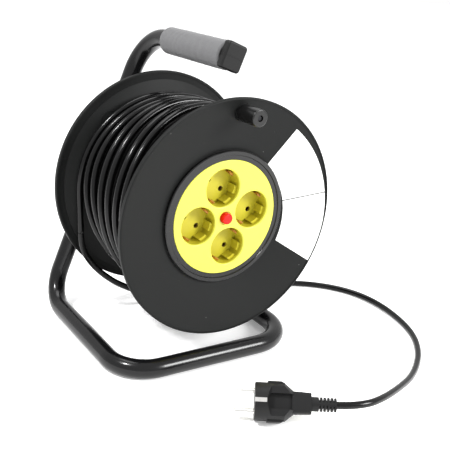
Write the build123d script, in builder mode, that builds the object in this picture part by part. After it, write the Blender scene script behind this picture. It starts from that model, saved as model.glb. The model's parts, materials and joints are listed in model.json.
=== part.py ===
"""Extension cord reel with a bent-tube stand and four earthed sockets.

The frame: +Z up, the floor at z = 0, the socket face towards -Y, the origin under the
middle of the reel without its free cord. Places are first given from the drum: right of
its axis, behind the plane of its front rim, and above its axis.
"""

from build123d import *
from math import acos, atan2, cos, degrees, pi, radians, sin, sqrt, tan
import os

os.makedirs("parts", exist_ok=True)

# Stand tube
tube_d = 20.0
tube_wall = 1.5
axis_height = 155.2
left_reach = 118.0
right_reach = 89.5
bar_lead = 8.8
leg_gap = 28.4
grip_rise = 160.5
grip_shift = 4.9
handle_bend_r = 44.0
rear_left_bend_r = 37.0
front_left_bend_r = 40.0
front_right_bend_r = 46.0
rear_right_bend_r = 46.0

# Grip and its end cap
grip_d = 28.8
grip_front = 23.0
grip_length = 115.0
grip_edge_r = 2.0
cap_neck_d = 24.0
cap_neck_t = 1.5
cap_width = 23.0
cap_height = 26.5
cap_length = 8.0
cap_corner_r = 3.2
cap_edge_r = 2.0
cap_ridge_w = 0.6
cap_ridge_proud = 0.35
cap_spigot_length = 14.0
spigot_fit = 0.15

# Axle
axle_d = 12.0
axle_hole_fit = 0.2
head_across_flats = 18.0
head_height = 7.5
saddle_d = 26.0
saddle_t = 3.0
spacer_d = 22.0
thrust_d = 28.0
thrust_t = 1.4
nut_across_flats = 19.0
nut_height = 10.0
thread_end = 2.0
bush_wall = 3.0
bush_flange_d = 26.0
bush_flange_t = 2.0
bush_length = 22.0
running_fit = 0.06
end_play = 0.3

# Drum
flange_d = 250.0
drum_width = 165.6
dish_depth = 14.5
flange_wall = 2.8
rim_band = 2.0
rim_lip = 1.0
band_w = 9.5
band_step = 0.8
rim_step = 1.0
barrel_r = 65.5
barrel_wall = 3.0
hub_wall = 4.0
hub_front = 100.0
hub_rear_stand = 11.0
rear_rib_count = 8
rear_rib_t = 2.4
rim_round = 1.2
blank_ring_r = 13.0
blank_ring_w = 1.2
blank_ring_proud = 0.6
blank_ring_place_r = 95.0
blank_ring_angle = 131.5

# Socket housing and face plate
collar_r = 70.5
dish_room = 0.7
collar_proud = 3.7
collar_step_r = 65.5
collar_step = 1.2
collar_edge_r = 0.8
housing_wall = 2.8
housing_floor_front = 46.0
housing_floor_t = 2.5
opening_fit = 0.4
plate_r = 60.9
plate_fit = 0.3
plate_front = 11.7
plate_t = 2.4
plate_edge_r = 0.7
well_r = 19.75
well_circle_r = 32.3
well_start = 10.0
well_count = 4
well_depth = 17.2
well_wall = 1.5
well_floor = 1.8
well_rim_r = 1.7
pin_line = -36.0
pin_spread = 19.0
pin_hole_d = 5.8
block_t = 3.0
block_width = 21.0
block_slot = 5.0
block_down = 5.5
clip_reach = 18.6
clip_slot_w = 6.4
clip_slot_t = 2.0
post_circle_r = 49.5
post_r = 3.4
screw_core_r = 1.3
screw_clearance = 0.3
drum_screw_clearance = 0.8
plate_screw_head_r = 2.8
plate_screw_head = 1.8
plate_screw_length = 10.0
drum_screw_head_r = 3.6
drum_screw_head = 2.2
clamp_screw_head_r = 2.4
clamp_screw_head = 1.8
screw_end_room = 1.0
tie_circle_r = 44.0
tie_post_r = 3.6
tie_post_length = 8.0
pillar_r = 7.0
pillar_wall = 2.4
pillar_end = 3.0

# Contacts
strip_t = 0.8
clip_w = 5.4
clip_tip_depth = 14.5
sleeve_r = 3.4
sleeve_wall = 0.9
sleeve_slit = 1.0
sleeve_slit_length = 4.0
sleeve_front = 31.0
bus_w = 9.0
bus_link_w = 5.0
live_bus_depth = 36.0
neutral_bus_depth = 41.0
earth_ring_in = 30.7
earth_ring_out = 35.3

# Cut-out and its button
button_d = 11.5
button_proud = 5.0
button_length = 13.0
button_travel = 3.0
button_fit = 0.08
button_hole_fit = 0.35
button_recess_r = 7.3
button_recess = 1.2
cutout_r = 9.0
cutout_length = 19.9

# Knob
knob_d = 17.0
knob_place_r = 110.0
knob_place_angle = 88.0
knob_front = 25.0
knob_gap = 0.3
knob_rivet_d = 4.0
knob_rivet_head_d = 5.6
knob_counterbore_d = 6.2
knob_counterbore = 4.0
knob_rivet_recess = 1.4
knob_boss_r = 9.2
knob_boss_front = 2.0
knob_boss_rear = 7.2
rivet_tail_d = 9.0
rivet_tail_t = 1.6
knob_core_r = 5.0
knob_skin = 2.0

# Label
label_t = 0.25
label_inner_r = 69.4
label_outer_r = 116.6
label_shift = 8.0
label_shift_angle = -45.0
label_lower_edge = [(60.0, -27.9), (135.0, -75.5)]
label_upper_edge = [(86.0, 113.0), (40.0, 38.3)]
label_split = [(60.0, 8.1), (130.0, 21.3)]
label_gap = 1.2

# Cord clamp inside the barrel
clamp_place_r = 30.0
clamp_length = 22.0
clamp_width = 9.0
clamp_cover = 2.5
clamp_screw_spread = 15.0
inner_end_angle = 145.0
inner_end_r = 18.0

# Cord, winding and plug
cord_d = 7.2
cord_hole_fit = 0.5
floor_gap = 0.1
core_r = 90.0
winding_gap = 0.4
layer_gap = 0.8
side_room = 4.5
core_room = 1.5
inner_turns = 15
outer_turns = 7.5
climb_turns = 0.5
pitch_unevenness = 0.004
pitch_waves = 3
bunch_shift = 20.0
bunch_angle = 75.0
bunch_spread = 0.73
leave_angle = 186.0
steps_per_turn = 8
tail_length = 42.0
tail_run = 18.0
plug_run = 11.0
plug_tail = (27.5, -155.5)
plug_tail_height = 22.5
plug_heading = 145.4
plug_tilt = -2.8
plug_roll = 38.0
relief_length = 23.5
relief_taper = 16.7
relief_tail_r = 6.6
relief_head_r = 6.8
relief_core_r = 4.0
relief_slot_count = 5
relief_slot_from = 1.6
relief_slot_w = 1.5
relief_slot_pitch = 3.3
relief_spine = 3.4
plug_length = 76.0
plug_head_r = 18.5
plug_cone_r = 10.5
plug_cone_from = 39.0
plug_cone_to = 48.5
plug_neck_tail = (15.5, 19.6)
plug_neck_head = (17.0, 21.0)
plug_flat = 17.3
plug_tab = 18.9
plug_tab_w = 14.0
plug_tab_from = 48.5
plug_tab_to = 64.0
plug_waist = 41.4
plug_recess_edge = 60.6
plug_recess_tip = 64.4
plug_recess_w = 14.4
plug_recess_bed = 7.0
plug_facet = 12.5
plug_facet_edge = 57.7
plug_guide_w = 5.2
plug_guide_deep = 3.4
plug_guide_length = 11.0
plug_pin_d = 4.8
plug_pin_length = 19.0
plug_pin_root = 12.0
plug_pin_root_d = 4.0
plug_pin_shoulder = 0.3
plug_strip_w = 4.0
plug_strip_bed = 17.2

# Worked out from the sizes above
tube_r = tube_d / 2
bore_r = tube_r - tube_wall
flange_r = flange_d / 2
cord_r = cord_d / 2
leg_depth = drum_width + leg_gap
back_reach = tube_r + saddle_t + head_height
drum_x = (left_reach + tube_r - flange_r) / 2
drum_y = knob_front - (knob_front + leg_depth + back_reach) / 2
bar_up = tube_r - axis_height
axle_r = axle_d / 2
bush_r = axle_r + running_fit + bush_wall
hub_r = bush_r + hub_wall
hub_rear = drum_width - dish_depth + hub_rear_stand
barrel_inner_r = barrel_r - barrel_wall
plate_rear = plate_front + plate_t
well_back = plate_front + well_depth + well_floor
housing_floor_rear = housing_floor_front + housing_floor_t
opening_r = plate_r + plate_fit
housing_r = opening_r - opening_fit
post_angles = [well_start + 45.0 + 90.0 * k for k in range(well_count)]


def spot(right, back, up):
    """A point given from the drum: right of its axis, behind its front rim, above its axis."""
    return Vector(drum_x + right, drum_y + back, axis_height + up)


def face(depth):
    """A plane parallel to the socket face, its sketches seen from the front."""
    return Plane(origin=spot(0, depth, 0), x_dir=(1, 0, 0), z_dir=(0, -1, 0))


def polar(radius, angle):
    """A point of a face sketch at a radius and an angle from the right."""
    return (radius * cos(radians(angle)), radius * sin(radians(angle)))


section = Plane(origin=spot(0, 0, 0), x_dir=(1, 0, 0), z_dir=(0, 0, 1))
spin = Axis(spot(0, 0, 0), (0, 1, 0))

# ---- Stand ----

leg_slope = (left_reach - grip_shift) / (grip_rise - bar_up)
strut_climb = (left_reach + bar_up * leg_slope) / (right_reach - bar_up * leg_slope)
leg_top = spot(-grip_shift, leg_depth, grip_rise)
leg_foot = spot(-left_reach, leg_depth, bar_up)
strut_foot = spot(right_reach, leg_depth, bar_up)
strut_top = spot(-right_reach * strut_climb, leg_depth, -bar_up * strut_climb)
right_bar_middle = spot(right_reach, leg_depth / 2, bar_up)

with BuildPart() as frame_tube:
    with BuildLine() as main_path:
        FilletPolyline(
            spot(-grip_shift, grip_front, grip_rise),
            leg_top,
            leg_foot,
            spot(-left_reach, -bar_lead, bar_up),
            spot(right_reach, -bar_lead, bar_up),
            right_bar_middle,
            radius=[handle_bend_r, rear_left_bend_r, front_left_bend_r, front_right_bend_r],
        )
    with BuildSketch(Plane(origin=main_path.line @ 0, z_dir=main_path.line % 0)):
        Circle(tube_r)
        Circle(bore_r, mode=Mode.SUBTRACT)
    sweep(path=main_path.line)
frame_tube.part.label = "frame_tube"
export_step(frame_tube.part, "parts/frame_tube.step")

with BuildPart() as strut_tube:
    with BuildLine() as strut_path:
        FilletPolyline(right_bar_middle, strut_foot, strut_top, radius=rear_right_bend_r)
    with BuildSketch(Plane(origin=strut_path.line @ 0, z_dir=strut_path.line % 0)):
        Circle(tube_r)
        Circle(bore_r, mode=Mode.SUBTRACT)
    sweep(path=strut_path.line)
    with BuildSketch(Plane(origin=leg_foot, z_dir=leg_top - leg_foot)):
        Circle(tube_r)
    extrude(amount=(leg_top - leg_foot).length, mode=Mode.SUBTRACT)
    with BuildSketch(face(leg_depth - tube_r)):
        Circle(axle_r + axle_hole_fit)
    extrude(amount=-tube_d, mode=Mode.SUBTRACT)
strut_tube.part.label = "strut_tube"
export_step(strut_tube.part, "parts/strut_tube.step")

with BuildPart() as handle_grip:
    with BuildSketch(face(grip_front)):
        with Locations((-grip_shift, grip_rise)):
            Circle(grip_d / 2)
            Circle(tube_r, mode=Mode.SUBTRACT)
    extrude(amount=-grip_length)
    rims = handle_grip.edges().filter_by(GeomType.CIRCLE)
    fillet(rims.filter_by(lambda edge: edge.radius > tube_r + 1), grip_edge_r)
handle_grip.part.label = "handle_grip"
export_step(handle_grip.part, "parts/handle_grip.step")

cap_front = grip_front - cap_neck_t - cap_length
cap_turned = Location((-grip_shift, grip_rise, 0), (0, 0, -degrees(atan2(leg_slope, 1))))
with BuildPart() as grip_end_cap:
    with BuildSketch(face(cap_front)):
        with Locations(cap_turned):
            RectangleRounded(cap_width, cap_height, cap_corner_r)
    extrude(amount=-cap_length)
    fillet(grip_end_cap.faces().sort_by(Axis.Y)[0].edges(), cap_edge_r)
    with BuildSketch(face(cap_front - cap_ridge_proud)):
        with Locations(cap_turned):
            Rectangle(cap_width - 2 * cap_edge_r, cap_ridge_w)
    extrude(amount=-cap_length / 2)
    with BuildSketch(face(cap_front + cap_edge_r)):
        with Locations(cap_turned):
            Rectangle(cap_width + 2 * cap_ridge_proud, cap_ridge_w)
    extrude(amount=cap_edge_r - cap_length)
    with BuildSketch(face(grip_front)):
        with Locations((-grip_shift, grip_rise)):
            Circle(cap_neck_d / 2)
    extrude(amount=cap_neck_t)
    with BuildSketch(face(grip_front)):
        with Locations((-grip_shift, grip_rise)):
            Circle(bore_r - spigot_fit)
    extrude(amount=-cap_spigot_length)
grip_end_cap.part.label = "grip_end_cap"
export_step(grip_end_cap.part, "parts/grip_end_cap.step")

# ---- Axle and what clamps it to the strut ----

thrust_front = hub_rear + bush_flange_t + end_play
nut_rear = hub_front - bush_flange_t - end_play - thrust_t
bolt_end = nut_rear - nut_height - thread_end
saddle_rear = leg_depth + tube_r + saddle_t
strut_direction = (strut_top - strut_foot).normalized()


# The outer form of the strut at the axle, which the saddle and the spacer sit on
strut_start = spot(0, leg_depth, 0) - strut_direction * tube_d
with BuildPart() as strut_form:
    with BuildSketch(Plane(origin=strut_start, z_dir=strut_direction)):
        Circle(tube_r)
    extrude(amount=2 * tube_d)

with BuildPart() as axle_bolt:
    with BuildSketch(face(bolt_end)):
        Circle(axle_r)
    extrude(amount=bolt_end - saddle_rear)
    chamfer(axle_bolt.faces().sort_by(Axis.Y)[0].edges(), 1.0)
    with BuildSketch(face(saddle_rear)):
        RegularPolygon(head_across_flats / 2, 6, major_radius=False)
    extrude(amount=-head_height)
axle_bolt.part.label = "axle_bolt"
export_step(axle_bolt.part, "parts/axle_bolt.step")

with BuildPart() as saddle_washer:
    with BuildSketch(face(saddle_rear)):
        Circle(saddle_d / 2)
        Circle(axle_r + axle_hole_fit, mode=Mode.SUBTRACT)
    extrude(amount=saddle_t + tube_r / 2)
    add(strut_form.part, mode=Mode.SUBTRACT)
saddle_washer.part.label = "saddle_washer"
export_step(saddle_washer.part, "parts/saddle_washer.step")

with BuildPart() as spacer_sleeve:
    with BuildSketch(face(thrust_front + thrust_t)):
        Circle(spacer_d / 2)
        Circle(axle_r + axle_hole_fit, mode=Mode.SUBTRACT)
    extrude(amount=thrust_front + thrust_t - leg_depth)
    add(strut_form.part, mode=Mode.SUBTRACT)
spacer_sleeve.part.label = "spacer_sleeve"
export_step(spacer_sleeve.part, "parts/spacer_sleeve.step")

with BuildPart() as thrust_washer:
    with BuildSketch(face(thrust_front)):
        Circle(thrust_d / 2)
        Circle(axle_r + axle_hole_fit, mode=Mode.SUBTRACT)
    extrude(amount=-thrust_t)
thrust_washer.part.label = "thrust_washer"
export_step(thrust_washer.part, "parts/thrust_washer.step")

with BuildPart() as axle_washer:
    with BuildSketch(face(nut_rear)):
        Circle(thrust_d / 2)
        Circle(axle_r + axle_hole_fit, mode=Mode.SUBTRACT)
    extrude(amount=-thrust_t)
axle_washer.part.label = "axle_washer"
export_step(axle_washer.part, "parts/axle_washer.step")

with BuildPart() as axle_nut:
    with BuildSketch(face(nut_rear)):
        RegularPolygon(nut_across_flats / 2, 6, major_radius=False)
        Circle(axle_r, mode=Mode.SUBTRACT)
    extrude(amount=nut_height)
axle_nut.part.label = "axle_nut"
export_step(axle_nut.part, "parts/axle_nut.step")

# ---- Drum mouldings ----

cone_r = flange_r - rim_band
dish_r = collar_r + dish_room
back_slope = (cone_r - barrel_r) * (dish_depth - rim_step) / (cone_r - dish_r) + 0.5
back_slope = back_slope / (flange_r - flange_wall - barrel_r)


def flange_back(radius):
    """Depth of the inner face of the front flange at a radius."""
    return rim_step + flange_wall + back_slope * (flange_r - flange_wall - radius)


band_r = flange_r - band_w
barrel_front = dish_depth + flange_wall
barrel_rear = drum_width - barrel_front
band_back = flange_back(band_r) - band_step
rim_depth = band_back + rim_lip


def dish_profile(mirrored, opening):
    """Outline of a flange: the rim, the dished wall, the flat middle and the outer band."""
    outline = [
        (flange_r, 0),
        (cone_r, 0),
        (cone_r, rim_step),
        (dish_r, dish_depth),
        (opening, dish_depth),
        (opening, barrel_front),
        (barrel_r, barrel_front),
        (barrel_r, flange_back(barrel_r)),
        (band_r, flange_back(band_r)),
        (band_r, band_back),
        (flange_r - flange_wall, band_back),
        (flange_r - flange_wall, rim_depth),
        (flange_r, rim_depth),
    ]
    if mirrored:
        outline = [(r, drum_width - y) for r, y in outline]
    return outline


knob_place = polar(knob_place_r, knob_place_angle)
blank_ring_way = Vector(cos(radians(blank_ring_angle)), 0, sin(radians(blank_ring_angle)))
blank_ring_plane = Plane(
    origin=spot(0, drum_width - flange_back(blank_ring_place_r), 0)
    + blank_ring_way * blank_ring_place_r,
    z_dir=blank_ring_way * back_slope - Vector(0, 1, 0),
)
inner_end_depth = barrel_rear - cord_r
inner_end_way = Vector(cos(radians(inner_end_angle)), 0, sin(radians(inner_end_angle)))
inner_end_start = spot(0, inner_end_depth, 0) + inner_end_way * inner_end_r
clamp_place = polar(clamp_place_r, inner_end_angle)
clamp_across = polar(clamp_screw_spread / 2, inner_end_angle + 90)
clamp_screw_places = [
    (clamp_place[0] + clamp_across[0], clamp_place[1] + clamp_across[1]),
    (clamp_place[0] - clamp_across[0], clamp_place[1] - clamp_across[1]),
]

with BuildPart() as front_flange:
    with BuildSketch(section):
        with BuildLine():
            Polyline(*dish_profile(False, opening_r), close=True)
        make_face()
    revolve(axis=spin)
    with BuildSketch(face(knob_boss_front)):
        with Locations(knob_place):
            Circle(knob_boss_r)
    extrude(amount=knob_boss_front - knob_boss_rear)
    with BuildSketch(face(knob_boss_rear)):
        with Locations(knob_place):
            Circle(rivet_tail_d / 2 + spigot_fit)
    extrude(amount=-rim_depth, mode=Mode.SUBTRACT)
    with BuildSketch(face(knob_boss_front)):
        with Locations(knob_place):
            Circle(knob_rivet_d / 2)
    extrude(amount=-rim_depth - knob_boss_rear, mode=Mode.SUBTRACT)
    rim_edges = front_flange.edges().filter_by(GeomType.CIRCLE)
    fillet(rim_edges.filter_by(lambda edge: edge.radius > flange_r - 0.1), rim_round)
front_flange.part.label = "front_flange"
export_step(front_flange.part, "parts/front_flange.step")

with BuildPart() as rear_flange:
    with BuildSketch(section):
        with BuildLine():
            Polyline(*dish_profile(True, bush_r), close=True)
        make_face()
    revolve(axis=spin)
    rim_edges = rear_flange.edges().filter_by(GeomType.CIRCLE)
    fillet(rim_edges.filter_by(lambda edge: edge.radius > flange_r - 0.1), rim_round)
    with BuildSketch(blank_ring_plane.offset(-flange_wall / 2)):
        Circle(blank_ring_r)
        Circle(blank_ring_r - blank_ring_w, mode=Mode.SUBTRACT)
    extrude(amount=blank_ring_proud + flange_wall / 2)
    with BuildSketch(face(hub_front)):
        Circle(hub_r)
        Circle(bush_r, mode=Mode.SUBTRACT)
    extrude(amount=hub_front - hub_rear)
    with BuildSketch(face(drum_width - dish_depth)):
        with PolarLocations((dish_r + hub_r) / 2, rear_rib_count):
            Rectangle(dish_r - hub_r + 1, rear_rib_t)
    extrude(amount=-hub_rear_stand + 1)
    with BuildSketch(face(housing_floor_rear)):
        with PolarLocations(tie_circle_r, well_count, start_angle=well_start):
            Circle(pillar_r)
    extrude(amount=housing_floor_rear - (drum_width - dish_depth))
    with BuildSketch(face(housing_floor_rear + pillar_end)):
        with PolarLocations(tie_circle_r, well_count, start_angle=well_start):
            Circle(pillar_r - pillar_wall)
    extrude(amount=-drum_width, mode=Mode.SUBTRACT)
    with BuildSketch(face(housing_floor_rear)):
        with PolarLocations(tie_circle_r, well_count, start_angle=well_start):
            Circle(screw_core_r + drum_screw_clearance)
    extrude(amount=-pillar_end, mode=Mode.SUBTRACT)
    with BuildSketch(Plane(origin=inner_end_start, z_dir=inner_end_way)):
        Circle(cord_r + cord_hole_fit)
    extrude(amount=barrel_r + 1 - inner_end_r, mode=Mode.SUBTRACT)
    with BuildSketch(face(barrel_rear)):
        with Locations(clamp_screw_places):
            Circle(screw_core_r)
    extrude(amount=-flange_wall, mode=Mode.SUBTRACT)
rear_flange.part.label = "rear_flange"
export_step(rear_flange.part, "parts/rear_flange.step")

with BuildPart() as drum_barrel:
    with BuildSketch(face(barrel_front)):
        Circle(barrel_r)
        Circle(barrel_inner_r, mode=Mode.SUBTRACT)
    extrude(amount=barrel_front - barrel_rear)
    with BuildSketch(Plane(origin=inner_end_start, z_dir=inner_end_way)):
        Circle(cord_r + cord_hole_fit)
    extrude(amount=barrel_r - inner_end_r, mode=Mode.SUBTRACT)
drum_barrel.part.label = "drum_barrel"
export_step(drum_barrel.part, "parts/drum_barrel.step")

with BuildPart() as hub_bushes:
    with BuildSketch(face(hub_front)):
        Circle(bush_r)
        Circle(axle_r + running_fit, mode=Mode.SUBTRACT)
    extrude(amount=-bush_length)
    with BuildSketch(face(hub_front)):
        Circle(bush_flange_d / 2)
        Circle(axle_r + running_fit, mode=Mode.SUBTRACT)
    extrude(amount=bush_flange_t)
    with BuildSketch(face(hub_rear)):
        Circle(bush_r)
        Circle(axle_r + running_fit, mode=Mode.SUBTRACT)
    extrude(amount=bush_length)
    with BuildSketch(face(hub_rear)):
        Circle(bush_flange_d / 2)
        Circle(axle_r + running_fit, mode=Mode.SUBTRACT)
    extrude(amount=-bush_flange_t)
hub_bushes.part.label = "hub_bushes"
export_step(hub_bushes.part, "parts/hub_bushes.step")

# ---- Socket housing and face plate ----

collar_front = dish_depth - collar_proud
well_places = [polar(well_circle_r, well_start + 90.0 * k) for k in range(well_count)]
pin_shift = polar(pin_spread / 2, pin_line)
line_pins = [(x + pin_shift[0], y + pin_shift[1]) for x, y in well_places]
neutral_pins = [(x - pin_shift[0], y - pin_shift[1]) for x, y in well_places]
all_pins = line_pins + neutral_pins

with BuildPart() as socket_housing:
    with BuildSketch(section):
        with BuildLine():
            Polyline(
                (collar_r, dish_depth),
                (collar_r, collar_front + collar_edge_r),
                (collar_r - collar_edge_r, collar_front),
                (collar_step_r + 0.6, collar_front),
                (collar_step_r, collar_front + collar_step),
                (opening_r, collar_front + collar_step),
                (opening_r, plate_rear),
                (housing_r - housing_wall, plate_rear),
                (housing_r - housing_wall, housing_floor_front),
                (0, housing_floor_front),
                (0, housing_floor_rear),
                (housing_r, housing_floor_rear),
                (housing_r, dish_depth),
                close=True,
            )
        make_face()
    revolve(axis=spin)
    with BuildSketch(face(housing_floor_front)):
        with PolarLocations(tie_circle_r, well_count, start_angle=well_start):
            Circle(tie_post_r)
    extrude(amount=tie_post_length)
    with BuildSketch(face(housing_floor_rear)):
        with PolarLocations(tie_circle_r, well_count, start_angle=well_start):
            Circle(screw_core_r)
    extrude(amount=tie_post_length, mode=Mode.SUBTRACT)
    with BuildSketch(face(housing_floor_rear)):
        with PolarLocations(post_circle_r, well_count, start_angle=post_angles[0]):
            Circle(screw_core_r + screw_clearance)
    extrude(amount=housing_floor_t, mode=Mode.SUBTRACT)
socket_housing.part.label = "socket_housing"
export_step(socket_housing.part, "parts/socket_housing.step")

with BuildPart() as face_plate:
    with BuildSketch(face(plate_front)):
        Circle(plate_r)
        with Locations(well_places):
            Circle(well_r, mode=Mode.SUBTRACT)
        Circle(button_d / 2 + button_hole_fit, mode=Mode.SUBTRACT)
    extrude(amount=-plate_t)
    with BuildSketch(face(plate_front)):
        Circle(button_recess_r)
    extrude(amount=-button_recess, mode=Mode.SUBTRACT)
    with BuildSketch(face(plate_rear)):
        with PolarLocations(post_circle_r, well_count, start_angle=post_angles[0]):
            Circle(post_r)
    extrude(amount=plate_rear - housing_floor_front)
    with BuildSketch(face(housing_floor_front)):
        with PolarLocations(post_circle_r, well_count, start_angle=post_angles[0]):
            Circle(screw_core_r)
    extrude(amount=4 * post_r, mode=Mode.SUBTRACT)
    front_edges = face_plate.edges().filter_by(GeomType.CIRCLE).group_by(Axis.Y)[0]
    fillet(front_edges.filter_by(lambda edge: abs(edge.radius - well_r) < 0.1), well_rim_r)
    front_edges = face_plate.edges().filter_by(GeomType.CIRCLE).group_by(Axis.Y)[0]
    fillet(front_edges.filter_by(lambda edge: edge.radius > plate_r - 0.1), plate_edge_r)
face_plate.part.label = "face_plate"
export_step(face_plate.part, "parts/face_plate.step")

well_floor_front = plate_front + well_depth
with BuildPart() as socket_cups:
    with BuildSketch(face(plate_rear)):
        with Locations(well_places):
            Circle(well_r + well_wall)
    extrude(amount=plate_rear - well_back)
    with BuildSketch(face(plate_rear)):
        with Locations(well_places):
            Circle(well_r)
    extrude(amount=plate_rear - well_floor_front, mode=Mode.SUBTRACT)
    for place in well_places:
        with BuildSketch(face(plate_front + block_down)):
            with Locations(place):
                Circle(well_r + well_wall / 2)
                Circle(well_r - block_t, mode=Mode.SUBTRACT)
            with Locations(Location((place[0], place[1], 0), (0, 0, pin_line))):
                Rectangle(3 * well_r, block_width, mode=Mode.INTERSECT)
                Rectangle(3 * well_r, block_slot, mode=Mode.SUBTRACT)
        extrude(amount=block_down - well_depth)
    with BuildSketch(face(well_floor_front)):
        with Locations(all_pins):
            Circle(pin_hole_d / 2)
        for place in well_places:
            with Locations(Location((place[0], place[1], 0), (0, 0, pin_line))):
                with Locations((0, clip_reach), (0, -clip_reach)):
                    Rectangle(clip_slot_w, clip_slot_t)
    extrude(amount=-well_floor, mode=Mode.SUBTRACT)
socket_cups.part.label = "socket_cups"
export_step(socket_cups.part, "parts/socket_cups.step")

with BuildPart() as housing_screws:
    with BuildSketch(face(housing_floor_rear)):
        with PolarLocations(post_circle_r, well_count, start_angle=post_angles[0]):
            Circle(plate_screw_head_r)
    extrude(amount=-plate_screw_head)
    with BuildSketch(face(housing_floor_rear)):
        with PolarLocations(post_circle_r, well_count, start_angle=post_angles[0]):
            Circle(screw_core_r)
    extrude(amount=plate_screw_length)
housing_screws.part.label = "housing_screws"
export_step(housing_screws.part, "parts/housing_screws.step")

with BuildPart() as drum_screws:
    with BuildSketch(face(housing_floor_rear + pillar_end)):
        with PolarLocations(tie_circle_r, well_count, start_angle=well_start):
            Circle(drum_screw_head_r)
    extrude(amount=-drum_screw_head)
    with BuildSketch(face(housing_floor_rear + pillar_end)):
        with PolarLocations(tie_circle_r, well_count, start_angle=well_start):
            Circle(screw_core_r)
    extrude(amount=pillar_end + tie_post_length - screw_end_room)
drum_screws.part.label = "drum_screws"
export_step(drum_screws.part, "parts/drum_screws.step")

# ---- Contacts ----

clip_base = well_back + strip_t / 2
with BuildPart() as earth_springs:
    for place in well_places:
        clip_plane = Plane(
            origin=spot(place[0], 0, place[1]),
            x_dir=(cos(radians(pin_line + 90)), 0, sin(radians(pin_line + 90))),
            z_dir=(cos(radians(pin_line)), 0, sin(radians(pin_line))),
        )
        toward_rear = 1 if clip_plane.y_dir.Y > 0 else -1
        with BuildSketch(clip_plane):
            with BuildLine():
                FilletPolyline(
                    (-clip_reach + 2.6, toward_rear * clip_tip_depth),
                    (-clip_reach, toward_rear * (clip_tip_depth + 2.0)),
                    (-clip_reach + 2.2, toward_rear * (clip_tip_depth + 5.5)),
                    (-clip_reach, toward_rear * (clip_tip_depth + 9.0)),
                    (-clip_reach, toward_rear * clip_base),
                    (clip_reach, toward_rear * clip_base),
                    (clip_reach, toward_rear * (clip_tip_depth + 9.0)),
                    (clip_reach - 2.2, toward_rear * (clip_tip_depth + 5.5)),
                    (clip_reach, toward_rear * (clip_tip_depth + 2.0)),
                    (clip_reach - 2.6, toward_rear * clip_tip_depth),
                    radius=0.9,
                )
            trace(line_width=strip_t)
        extrude(amount=clip_w / 2, both=True)
earth_springs.part.label = "earth_springs"
export_step(earth_springs.part, "parts/earth_springs.step")

with BuildPart() as earth_bus:
    with BuildSketch(face(well_back + strip_t)):
        Circle(earth_ring_out)
        Circle(earth_ring_in, mode=Mode.SUBTRACT)
    extrude(amount=-strip_t)
earth_bus.part.label = "earth_bus"
export_step(earth_bus.part, "parts/earth_bus.step")

with BuildPart() as contact_sleeves:
    with BuildSketch(face(sleeve_front)):
        with Locations(all_pins):
            Circle(sleeve_r)
            Circle(sleeve_r - sleeve_wall, mode=Mode.SUBTRACT)
    extrude(amount=sleeve_front - housing_floor_front)
    with BuildSketch(face(sleeve_front)):
        with Locations(all_pins):
            Rectangle(sleeve_slit, 2 * sleeve_r + 1)
    extrude(amount=-sleeve_slit_length, mode=Mode.SUBTRACT)
contact_sleeves.part.label = "contact_sleeves"
export_step(contact_sleeves.part, "parts/contact_sleeves.step")


def bus_sketch(pins):
    """Two bars, each through two pins of one pole, and the link across their middles."""
    pairs = [(pins[0], pins[3]), (pins[1], pins[2])]
    middles = []
    for first, second in pairs:
        middle = ((first[0] + second[0]) / 2, (first[1] + second[1]) / 2)
        with Locations(Location((middle[0], middle[1], 0), (0, 0, pin_line + 90))):
            SlotCenterToCenter(well_circle_r * sqrt(2), bus_w)
        middles.append(middle)
    centre = ((middles[0][0] + middles[1][0]) / 2, (middles[0][1] + middles[1][1]) / 2)
    with Locations(Location((centre[0], centre[1], 0), (0, 0, pin_line + 1))):
        Rectangle(well_circle_r * sqrt(2), bus_link_w)
    with Locations(pins):
        Circle(sleeve_r, mode=Mode.SUBTRACT)


with BuildPart() as live_bus:
    with BuildSketch(face(live_bus_depth)):
        bus_sketch(line_pins)
    extrude(amount=-strip_t)
live_bus.part.label = "live_bus"
export_step(live_bus.part, "parts/live_bus.step")

with BuildPart() as neutral_bus:
    with BuildSketch(face(neutral_bus_depth)):
        bus_sketch(neutral_pins)
    extrude(amount=-strip_t)
neutral_bus.part.label = "neutral_bus"
export_step(neutral_bus.part, "parts/neutral_bus.step")

button_r = button_d / 2
button_front = plate_front - button_proud
with BuildPart() as thermal_cutout:
    with BuildSketch(face(plate_rear)):
        Circle(cutout_r)
    extrude(amount=-cutout_length)
    with BuildSketch(face(plate_rear)):
        Circle(button_r + button_fit)
    extrude(amount=plate_rear - button_front - button_length - button_travel - 1, mode=Mode.SUBTRACT)
thermal_cutout.part.label = "thermal_cutout"
export_step(thermal_cutout.part, "parts/thermal_cutout.step")

with BuildPart() as reset_button:
    with BuildSketch(face(button_front)):
        Circle(button_r)
    extrude(amount=-button_length)
    fillet(reset_button.faces().sort_by(Axis.Y)[0].edges(), 1.2)
reset_button.part.label = "reset_button"
export_step(reset_button.part, "parts/reset_button.step")

# ---- Winding knob ----

with BuildPart() as knob_pin:
    with BuildSketch(face(knob_boss_rear)):
        with Locations(knob_place):
            Circle(rivet_tail_d / 2)
    extrude(amount=-rivet_tail_t)
    with BuildSketch(face(knob_boss_rear)):
        with Locations(knob_place):
            Circle(knob_rivet_d / 2)
    extrude(amount=knob_boss_rear + knob_front - knob_counterbore + knob_gap)
    with BuildSketch(face(-knob_front + knob_counterbore - knob_gap)):
        with Locations(knob_place):
            Circle(knob_rivet_head_d / 2)
    extrude(amount=knob_counterbore - knob_gap - knob_rivet_recess)
    fillet(knob_pin.faces().sort_by(Axis.Y)[0].edges(), 0.8)
knob_pin.part.label = "knob_pin"
export_step(knob_pin.part, "parts/knob_pin.step")

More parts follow.
